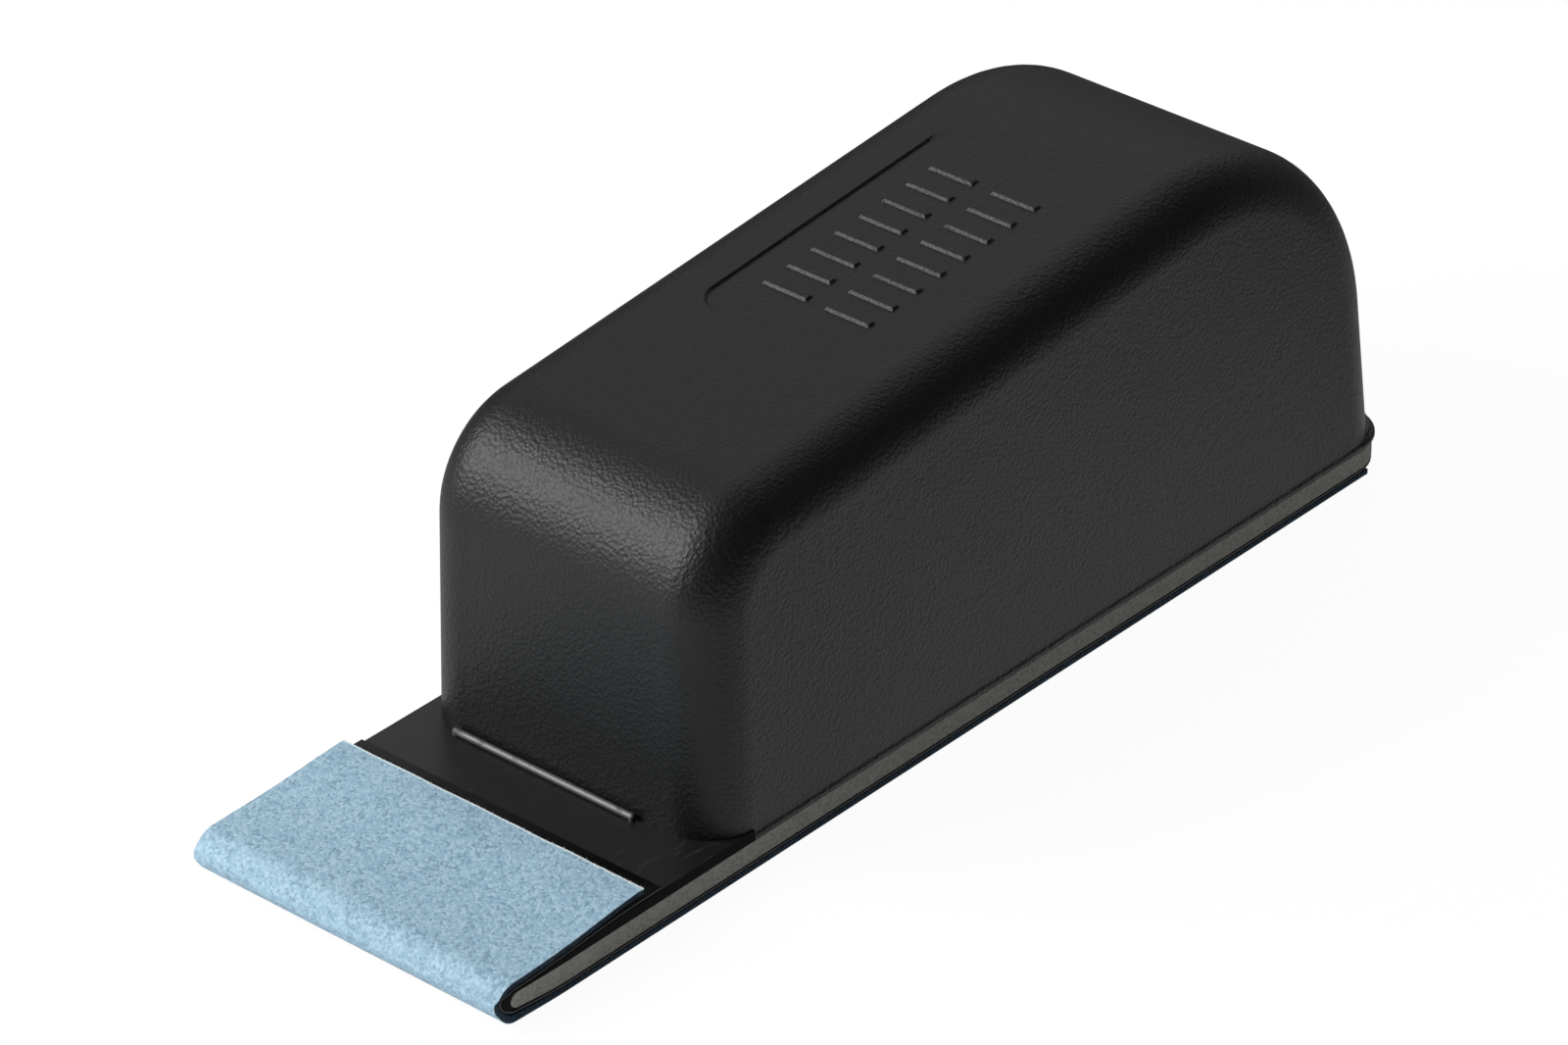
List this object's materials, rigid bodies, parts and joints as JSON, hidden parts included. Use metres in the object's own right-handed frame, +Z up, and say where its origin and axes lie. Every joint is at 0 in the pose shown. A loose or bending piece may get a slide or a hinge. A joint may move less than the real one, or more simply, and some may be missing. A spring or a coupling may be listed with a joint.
{
  "type": "hand sanding block",
  "caption": "Hand sanding block: tall rounded grip on a laminated sole, with a hook-and-loop abrasive strip wrapped round its nose and back onto a tongue.",
  "frame": {"origin": "middle of the base at floor level", "axes": "+X from the nose to the heel along the sole, +Y across, +Z up"},
  "size_m": [0.1608, 0.046, 0.0521],
  "materials": {
    "grip_plastic": "fine moulded grain",
    "plate_plastic": "semi-gloss, smooth",
    "core_foam": "closed cells, cut edge",
    "hook_fabric": "rows of moulded hooks",
    "steel": "satin",
    "loop_velour": "short looped pile",
    "grit_coat": "speckled fine grit"
  },
  "bodies": {
    "block": {"grip_shell": "grip_plastic", "sole_plate": "plate_plastic", "core_layer": "core_foam", "hook_pad": "hook_fabric", "foot_wire": "steel", "grip_screws": "steel"},
    "strip": {"loop_sole": "loop_velour", "loop_nose": "loop_velour", "grit_sole": "grit_coat", "grit_nose": "grit_coat"},
    "flap": {"loop_flap": "loop_velour", "grit_flap": "grit_coat"}
  },
  "joints": [
    {"name": "strip_pull_off", "type": "slide", "parent": "block", "child": "strip", "axis": [-1, 0, 0], "range_m": [0, 0.165]},
    {"name": "flap_peel", "type": "hinge", "parent": "strip", "child": "flap", "pos_m": [-0.07715, 0, 0.00325], "axis": [0, -1, 0], "range_deg": [0, 165], "deforming": ["loop_nose", "grit_nose"]}
  ]
}
